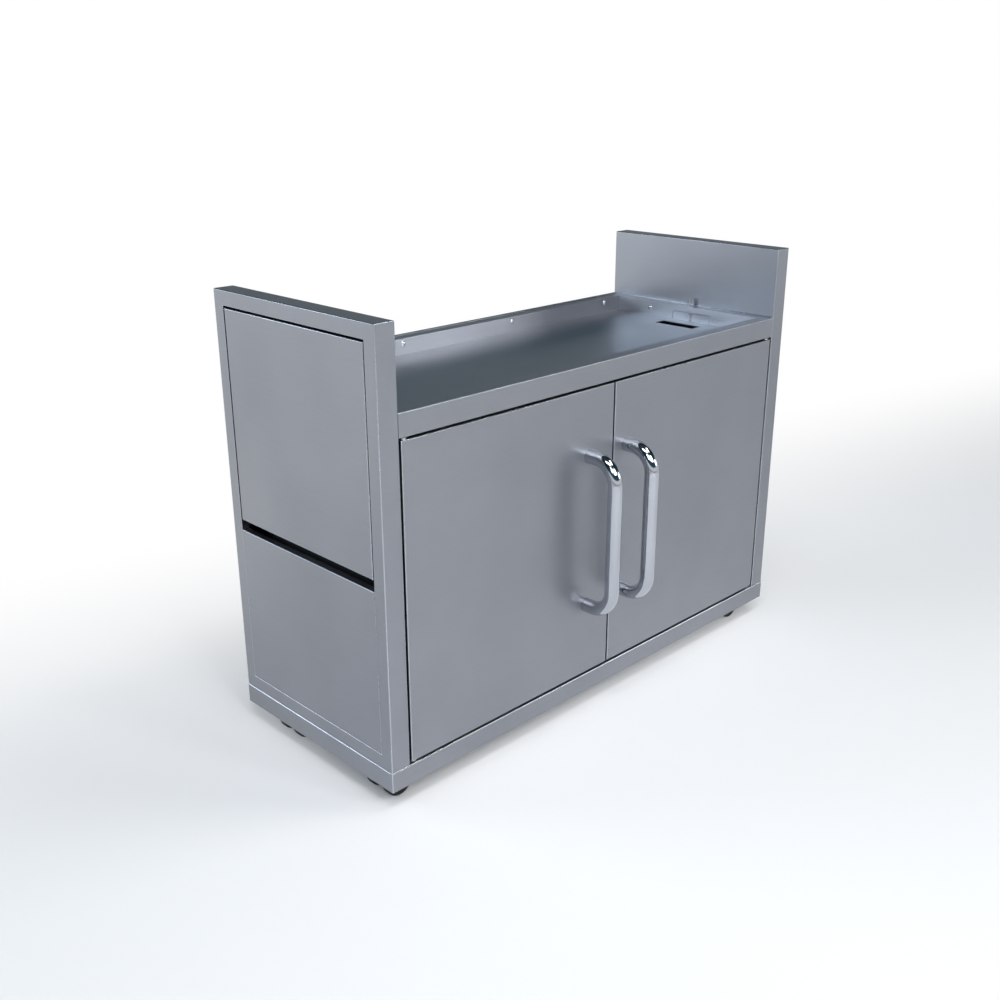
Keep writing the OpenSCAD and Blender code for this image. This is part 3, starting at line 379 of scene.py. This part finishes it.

# Weld along each end of the deck, where it meets the side panels: a narrow bead with a painted highlight
SIDE_IN = 561.2 * MM
BEAD_R, BEAD_SINK, BEAD_END = 1.1 * MM, 0.35 * MM, 0.9 * MM
BEAD_FRONT_Y, BEAD_BACK_Y = APRON_Y + 3 * MM, PAN_BACK_Y + 8 * MM
for side, way in (("left", -1), ("right", 1)):
    bpy.ops.object.select_all(action="DESELECT")
    bpy.ops.mesh.primitive_cylinder_add(
        vertices=16, radius=BEAD_R, depth=BEAD_BACK_Y - BEAD_FRONT_Y, rotation=(QUARTER_TURN, 0, 0),
        location=(way * (SIDE_IN - BEAD_SINK), (BEAD_FRONT_Y + BEAD_BACK_Y) / 2, DECK_Z + BEAD_SINK))
    bead = bpy.context.object
    bpy.ops.object.transform_apply(location=True, rotation=True, scale=True)
    bpy.ops.object.mode_set(mode="EDIT")
    pick(bead, "EDGE",
         lambda middle, along: middle.y < BEAD_FRONT_Y + NEAR or middle.y > BEAD_BACK_Y - NEAR)
    bpy.ops.mesh.bevel(offset=BEAD_END, offset_type="OFFSET", segments=3, profile=0.5)
    bpy.ops.object.mode_set(mode="OBJECT")
    settle(bead, "deck_weld_" + side, (edge_highlight_finish,), "cabinet", "brushed_stainless")

# Plated channels, angles and brackets behind the sheets, and turned pins, pivots, screws and props
plated = ["floor_stiffener", "front_rail", "deck_angles", "caster_plates", "caster_bolts", "panel_screws"]
for side in SIDES:
    plated += [part + side
               for part in ("shelf_channel_", "prop_brackets_", "handle_bolts_", "strike_plate_")]
plated += ["caster_axle_" + corner for corner in CORNERS]
turned = ["locating_pins", "deck_screws"]
turned += [part + side for side in SIDES for part in ("shelf_hinge_pins_", "door_pivots_")]
turned += ["shelf_prop_" + side for side in SIDES]

# Each small part with the rounding of its edges in millimetres, its finish and its slot
small_parts = [(node, 0.2, zinc_plate, "plated_steel") for node in plated]
small_parts += [(node, 0.2, turned_steel, "polished_steel") for node in turned]
small_parts += [("pivot_bushes", 0.15, sintered_bronze, "bush_bronze"),
                ("catch_magnets", 0.4, black_nylon, "black_plastic")]
small_parts += [("caster_housing_" + corner, 0.5, black_nylon, "black_plastic") for corner in CORNERS]
for node, ease, finish, slot in small_parts:
    eased_copy(node, ease, (finish,), slot)

HANDLE_R, HANDLE_BEND, HANDLE_WALL = 15 * MM, 50 * MM, 2 * MM
BEND_STEPS = 20


def door_handle(node):
    """Bent tube: a ring drawn out of the door, spun round two bends and drawn back in."""
    low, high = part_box(node)
    x = (low.x + high.x) / 2
    door_y = high.y
    z0, z1 = low.z + HANDLE_R, high.z - HANDLE_R
    leg = high.y - low.y - HANDLE_R - HANDLE_BEND
    bend_y = door_y - leg
    bpy.ops.object.select_all(action="DESELECT")
    bpy.ops.mesh.primitive_circle_add(vertices=48, radius=HANDLE_R, location=(x, door_y, z0),
                                      rotation=(QUARTER_TURN, 0, 0))
    tube = bpy.context.object
    bpy.ops.object.transform_apply(location=True, rotation=True, scale=True)
    bpy.ops.object.mode_set(mode="EDIT")
    bpy.ops.mesh.select_all(action="SELECT")
    bpy.ops.mesh.extrude_region_move(TRANSFORM_OT_translate={"value": (0, -leg, 0)})
    bpy.ops.mesh.spin(steps=BEND_STEPS, angle=QUARTER_TURN, center=(x, bend_y, z0 + HANDLE_BEND),
                      axis=(1, 0, 0))
    bpy.ops.mesh.extrude_region_move(TRANSFORM_OT_translate={"value": (0, 0, z1 - z0 - 2 * HANDLE_BEND)})
    bpy.ops.mesh.spin(steps=BEND_STEPS, angle=QUARTER_TURN, center=(x, bend_y, z1 - HANDLE_BEND),
                      axis=(1, 0, 0))
    bpy.ops.mesh.extrude_region_move(TRANSFORM_OT_translate={"value": (0, leg, 0)})
    bpy.ops.mesh.select_all(action="SELECT")
    bpy.ops.mesh.remove_doubles(threshold=JOIN)
    bpy.ops.mesh.normals_make_consistent(inside=False)
    bpy.ops.object.mode_set(mode="OBJECT")
    wall = tube.modifiers.new("tube wall", "SOLIDIFY")
    wall.thickness = HANDLE_WALL
    wall.offset = -1
    apply_modifiers(tube)
    return tube


handle_nodes = ["door_handle_" + side for side in SIDES]
for side, tube in zip(SIDES, place_copies(door_handle(handle_nodes[0]), handle_nodes)):
    settle(tube, "handle_tube_" + side, (polished_tube,), "door_" + side, "polished_steel",
           "door_handle_" + side, smooth=40)

# Caster wheel: round of the tread's shoulders and depth of the tread, then the flat rim beside it, the sunk web
# and the raised hub, each with its narrow edge. A face whose normal has more than SIDEWAYS along the axle looks
# sideways.
SHOULDER, TREAD = 4 * MM, 7 * MM
FLAT_RIM, FLAT_RIM_EDGE = 3.2 * MM, 0.8 * MM
WEB, WEB_EDGE, WEB_SINK = 10.5 * MM, 0.6 * MM, 4 * MM
HUB_EDGE, HUB_RISE = 0.8 * MM, 3.6 * MM
WHEEL_EASE, WHEEL_SHARP = 0.4 * MM, math.radians(50)
SIDEWAYS = 0.99


def caster_wheel(node, out):
    """Twin caster wheel: tread with rounded shoulders, sunk web and a raised hub on its outer side."""
    low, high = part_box(node)
    centre = (low + high) / 2
    radius, width = (high.z - low.z) / 2, high.y - low.y
    bpy.ops.object.select_all(action="DESELECT")
    bpy.ops.mesh.primitive_cylinder_add(vertices=72, radius=radius, depth=width, location=centre,
                                        rotation=(QUARTER_TURN, 0, 0))
    wheel = bpy.context.object
    bpy.ops.object.transform_apply(location=True, rotation=True, scale=True)
    bpy.ops.object.mode_set(mode="EDIT")
    pick(wheel, "EDGE", lambda middle, along: abs(abs(middle.y - centre.y) - width / 2) < CLOSE)
    bpy.ops.mesh.bevel(offset=SHOULDER, offset_type="OFFSET", segments=5, profile=0.5)
    for way in (-1, 1):
        pick(wheel, "FACE",
             lambda middle, normal: normal.y * way > SIDEWAYS and (middle - centre).length < width)
        bpy.ops.mesh.inset(thickness=FLAT_RIM)
        bpy.ops.mesh.inset(thickness=FLAT_RIM_EDGE)
        if way == out:
            bpy.ops.mesh.extrude_region_move(TRANSFORM_OT_translate={"value": (0, -way * WEB_SINK, 0)})
            bpy.ops.mesh.inset(thickness=WEB)
            bpy.ops.mesh.inset(thickness=WEB_EDGE)
            bpy.ops.mesh.extrude_region_move(TRANSFORM_OT_translate={"value": (0, way * HUB_RISE, 0)})
            bpy.ops.mesh.inset(thickness=HUB_EDGE)
    bpy.ops.object.mode_set(mode="OBJECT")
    for polygon in wheel.data.polygons:
        reach = math.hypot(polygon.center.x - centre.x, polygon.center.z - centre.z)
        polygon.material_index = 0 if reach > radius - TREAD else 1
    edge = wheel.modifiers.new("soft edges", "BEVEL")
    edge.width = WHEEL_EASE
    edge.segments = 2
    edge.limit_method = "ANGLE"
    edge.angle_limit = WHEEL_SHARP
    apply_modifiers(wheel)
    return wheel


# The wheels of a pair differ in the side that faces out: a faces the front at rest, b the rear
for which, out in (("a", -1), ("b", 1)):
    wheel_nodes = ["caster_wheel_" + corner + "_" + which for corner in CORNERS]
    for corner, wheel in zip(CORNERS, place_copies(caster_wheel(wheel_nodes[0], out), wheel_nodes)):
        settle(wheel, "twin_wheel_" + corner + "_" + which, (tread_rubber, black_nylon),
               "wheel_" + corner + "_" + which, "caster_rubber", "caster_wheel_" + corner + "_" + which)

# Floor and low round wall of pale paint. Behind the cart the paint turns into plain white, for the eye and
# for what the metal mirrors, and near the cart it keeps the cart's shadow. The studio's lengths are in metres.
COVE_R, COVE_TOP, COVE_BEND = 14.0, 2.4, 0.8
BEHIND, WHITE_FROM, WHITE_TO = (0.2, 1.0, 0.0), -0.3, 1.3
RIM_FROM, RIM_TO, RIM_WHITE = 6.0, 12.0, 0.8
FLOOR_LIFT = 0.1

paper, tree, place = new_finish("pale_studio_paint")
behind = add_node(tree, "ShaderNodeVectorMath", {"operation": "DOT_PRODUCT"}, {1: BEHIND}, {0: place})
behind_white = add_node(tree, "ShaderNodeMapRange", {"interpolation_type": "SMOOTHSTEP"},
                        {"From Min": WHITE_FROM, "From Max": WHITE_TO}, {"Value": behind.outputs["Value"]})
reach = add_node(tree, "ShaderNodeVectorMath", {"operation": "LENGTH"}, None, {0: place})
rim = add_node(tree, "ShaderNodeMapRange", {"interpolation_type": "SMOOTHSTEP"},
               {"From Min": RIM_FROM, "From Max": RIM_TO, "To Max": RIM_WHITE},
               {"Value": reach.outputs["Value"]})
far = add_node(tree, "ShaderNodeMath", {"operation": "MAXIMUM"}, None,
               {0: behind_white.outputs["Result"], 1: rim.outputs["Result"]})
path = add_node(tree, "ShaderNodeLightPath")
seen = add_node(tree, "ShaderNodeMath", {"operation": "ADD"}, None,
                {0: path.outputs["Is Camera Ray"], 1: path.outputs["Is Glossy Ray"]})
shown = add_node(tree, "ShaderNodeMath", {"operation": "ADD", "use_clamp": True}, None,
                 {0: seen.outputs["Value"], 1: path.outputs["Is Transmission Ray"]})
lift = add_node(tree, "ShaderNodeMapRange", None, {"To Min": FLOOR_LIFT}, {"Value": far.outputs["Value"]})
blank = add_node(tree, "ShaderNodeMath", {"operation": "MULTIPLY"}, None,
                 {0: lift.outputs["Result"], 1: shown.outputs["Value"]})
paint = add_node(tree, "ShaderNodeBsdfDiffuse", None, {"Color": linear("#f2f3f5")})
white = add_node(tree, "ShaderNodeEmission", None, {"Color": (1, 1, 1, 1), "Strength": 1.0})
either = add_node(tree, "ShaderNodeMixShader", None, None,
                  {0: blank.outputs["Value"], 1: paint.outputs["BSDF"], 2: white.outputs["Emission"]})
add_node(tree, "ShaderNodeOutputMaterial", None, None, {"Surface": either.outputs["Shader"]})

bpy.ops.object.select_all(action="DESELECT")
bpy.ops.mesh.primitive_circle_add(vertices=128, radius=COVE_R, fill_type="NGON", location=(0, 0, 0))
cove = bpy.context.object
bpy.ops.object.mode_set(mode="EDIT")
pick(cove, "EDGE", lambda middle, along: True)
bpy.ops.mesh.extrude_edges_move(TRANSFORM_OT_translate={"value": (0, 0, COVE_TOP)})
pick(cove, "EDGE", lambda middle, along: middle.z < COVE_TOP / 4)
bpy.ops.mesh.bevel(offset=COVE_BEND, offset_type="OFFSET", segments=8, profile=0.5)
bpy.ops.mesh.select_all(action="SELECT")
bpy.ops.mesh.normals_make_consistent(inside=True)
bpy.ops.object.mode_set(mode="OBJECT")
bpy.ops.object.shade_smooth()
cove.name = "studio_cove"
cove.data.materials.append(paper)

# The cart's middle, which every softbox faces
LAMP_AIM = Vector((0, 0, 0.5))


def hang(name, azimuth, elevation, reach, size, power, colour="#ffffff"):
    """Softbox; its azimuth turns from the cart's right towards the back, in degrees like its elevation."""
    around, above = math.radians(azimuth), math.radians(elevation)
    way = Vector((math.cos(around) * math.cos(above), math.sin(around) * math.cos(above), math.sin(above)))
    lamp = bpy.data.lights.new(name, "AREA")
    lamp.shape = "RECTANGLE"
    lamp.size, lamp.size_y = size
    lamp.energy = power
    lamp.color = linear(colour)[:3]
    box = bpy.data.objects.new(name, lamp)
    bpy.context.scene.collection.objects.link(box)
    place = LAMP_AIM + way * reach
    box.location = place
    box.rotation_euler = (LAMP_AIM - place).to_track_quat("-Z", "Y").to_euler()


# Three window panes in front and one at the front left, strips high at the left and the right, a wide box low
# at the front right that the pan's rear wall mirrors, and a cool one at the back left
for number, azimuth in enumerate((-112, -98, -82)):
    hang("pane_" + str(number), azimuth, 36, 4.5, (0.48, 1.5), 27)
hang("side_pane", -134, 38, 4.5, (0.4, 1.4), 38)
hang("left_strip", -134, 62, 4.2, (1.9, 0.6), 50)
hang("right_strip", -48, 60, 4.2, (1.6, 0.5), 40)
hang("front_right_box", -45, 16, 8.5, (3.2, 1.8), 160)
hang("back_left_box", 133, 20, 4.6, (2.4, 1.4), 74, "#dbe8f5")

# Air above the wall: pale at its foot, then blue-green, and dark overhead
AIR_TONES = ((0.14, "#f4f6f8"), (0.172, "#4c6472"), (0.21, "#33505e"), (0.4, "#264452"), (0.7, "#1e2b32"),
             (1.0, "#303c43"))
world = bpy.data.worlds.new("studio")
bpy.context.scene.world = world
world.use_nodes = True
air = world.node_tree
air.nodes.clear()
look = add_node(air, "ShaderNodeTexCoord").outputs["Generated"]
height = add_node(air, "ShaderNodeSeparateXYZ", None, None, {"Vector": look})
shade = add_node(air, "ShaderNodeValToRGB", None, None, {"Fac": height.outputs["Z"]})
stops = shade.color_ramp.elements
for stop, (position, tone) in zip(stops, (AIR_TONES[0], AIR_TONES[-1])):
    stop.position = position
    stop.color = linear(tone)
for position, tone in AIR_TONES[1:-1]:
    stops.new(position).color = linear(tone)
glow = add_node(air, "ShaderNodeBackground", None, {"Strength": 1.0}, {"Color": shade.outputs["Color"]})
add_node(air, "ShaderNodeOutputWorld", None, None, {"Surface": glow.outputs["Background"]})

# Camera of the photograph, solved from the cabinet's edges: its direction, its roll and its place in metres
azimuth, elevation, roll = math.radians(-44.62), math.radians(20.37), math.radians(-0.158)
CAMERA_PLACE = (-1.7121, -1.6015, 1.2777)
camera_data = bpy.data.cameras.new("photo_camera")
camera_data.sensor_width = 36.0
camera_data.lens = 40.87
camera_data.clip_end = 100
camera = bpy.data.objects.new("photo_camera", camera_data)
bpy.context.scene.collection.objects.link(camera)
back = Vector((math.sin(azimuth) * math.cos(elevation), -math.cos(azimuth) * math.cos(elevation),
               math.sin(elevation)))
level = Vector((math.cos(azimuth), math.sin(azimuth), 0))
upright = back.cross(level)
right = level * math.cos(roll) + upright * math.sin(roll)
up = upright * math.cos(roll) - level * math.sin(roll)
turn = Matrix((right, up, back)).transposed().to_4x4()
camera.matrix_world = Matrix.Translation(CAMERA_PLACE) @ turn
bpy.context.scene.camera = camera
bpy.context.scene.view_settings.view_transform = "Standard"
